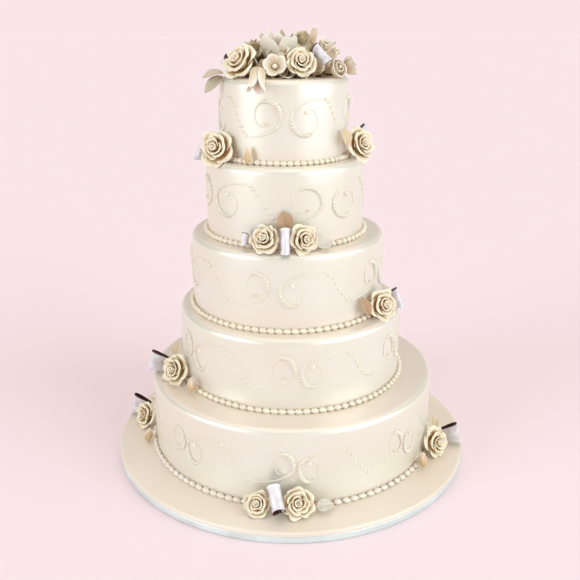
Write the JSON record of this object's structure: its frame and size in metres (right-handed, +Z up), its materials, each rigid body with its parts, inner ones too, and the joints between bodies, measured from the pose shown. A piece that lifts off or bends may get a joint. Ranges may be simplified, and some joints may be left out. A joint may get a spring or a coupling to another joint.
{
  "type": "tiered cake",
  "caption": "Tall round tiered celebration cake on its iced board, with piped scrolls, bead borders, sugar roses and ribbon loops.",
  "frame": {"origin": "middle of the board's underside, on the surface that the cake stands on", "axes": "+Z up through the tiers, -Y towards the front of the cake, +X to the right seen from the front"},
  "size_m": [0.508, 0.508, 0.5923],
  "materials": {
    "board_foil": "satin silver-white wrap",
    "board_fondant": "satin warm ivory sugar paste",
    "fondant": "pearl lustre ivory sugar paste",
    "piping": "pearl lustre royal icing",
    "sugar_rose": "matte cream sugar paste",
    "sugar_blossom": "matte ivory sugar paste",
    "sugar_leaf": "matte tan sugar paste",
    "ribbon": "satin silver-grey sugar ribbon, dark inside"
  },
  "bodies": {
    "root": {"board": "board_foil", "board_icing": "board_fondant", "tier_1": "fondant", "tier_2": "fondant", "tier_3": "fondant", "tier_4": "fondant", "tier_5": "fondant", "border_1": "piping", "border_2": "piping", "border_3": "piping", "border_4": "piping", "border_5": "piping", "rose_5_left": "sugar_rose", "rose_5_right": "sugar_rose", "rose_4_left": "sugar_rose", "rose_4_right": "sugar_rose", "rose_3_right": "sugar_rose", "rose_2_left": "sugar_rose", "rose_1_left": "sugar_rose", "rose_1_front_left": "sugar_rose", "rose_1_front_right": "sugar_rose", "rose_1_right": "sugar_rose", "rose_1_back": "sugar_rose", "top_rose_left": "sugar_rose", "top_rose_front": "sugar_rose", "top_rose_back": "sugar_rose", "top_rose_back_right": "sugar_rose", "top_blossom_front": "sugar_blossom", "top_blossom_right": "sugar_blossom", "top_blossom_edge": "sugar_blossom", "top_bell": "sugar_blossom", "top_magnolia": "sugar_blossom", "top_bloom_left": "sugar_blossom", "top_bloom_middle": "sugar_blossom", "top_bloom_right": "sugar_blossom", "top_curl": "sugar_blossom", "leaf_5_right": "sugar_leaf", "leaf_4_front": "sugar_leaf", "leaf_4_right": "sugar_leaf", "leaf_3_right": "sugar_leaf", "leaf_2_left": "sugar_leaf", "leaf_1_left": "sugar_leaf", "leaf_1_front": "sugar_leaf", "leaf_1_right": "sugar_leaf", "top_leaf": "sugar_leaf", "bud_5_left": "sugar_leaf", "bud_2_left": "sugar_leaf", "bud_1_left": "sugar_leaf", "bud_1_right": "sugar_leaf", "ribbon_5_left": "ribbon", "ribbon_5_right": "ribbon", "ribbon_4_front": "ribbon", "ribbon_4_end": "ribbon", "ribbon_3_right": "ribbon", "ribbon_2_left": "ribbon", "ribbon_1_left": "ribbon", "ribbon_1_front": "ribbon", "ribbon_1_right": "ribbon", "top_ribbon_left": "ribbon", "top_ribbon_right": "ribbon"}
  },
  "joints": []
}
